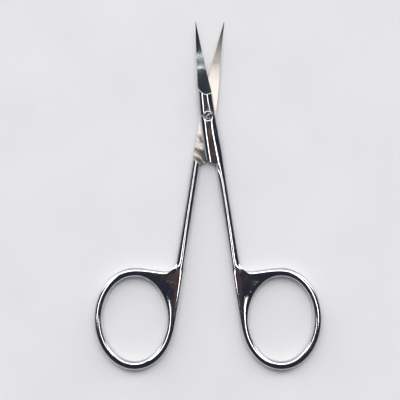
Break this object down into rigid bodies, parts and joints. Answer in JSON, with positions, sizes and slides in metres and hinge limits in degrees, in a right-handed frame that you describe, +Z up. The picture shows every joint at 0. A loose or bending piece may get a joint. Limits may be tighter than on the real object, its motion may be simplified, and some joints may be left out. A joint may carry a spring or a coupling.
{
  "type": "thread scissors",
  "caption": "Fine curved-point thread scissors, two forged steel halves with oval finger rings turning on a slotted screw.",
  "frame": {"origin": "middle of the footprint of the scissors lying open on a table, at table height; x = 0 is the pivot's centreline", "axes": "+Y from the finger rings to the points, +Z up out of the table along the pivot axis, +X to the upper half's finger ring"},
  "size_m": [0.065, 0.099, 0.0044],
  "materials": {
    "forged_steel": "mirror polished outside, satin ground on the lapped faces",
    "screw_steel": "polished, slotted"
  },
  "bodies": {
    "lower_body": {"lower_half": "forged_steel", "pivot_screw": "screw_steel"},
    "upper_body": {"upper_half": "forged_steel"}
  },
  "joints": [
    {"name": "blade_pivot", "type": "hinge", "parent": "lower_body", "child": "upper_body", "pos_m": [0, 0.02308, 0.0015], "axis": [0, 0, 1], "range_deg": [-17.4, 138]}
  ]
}
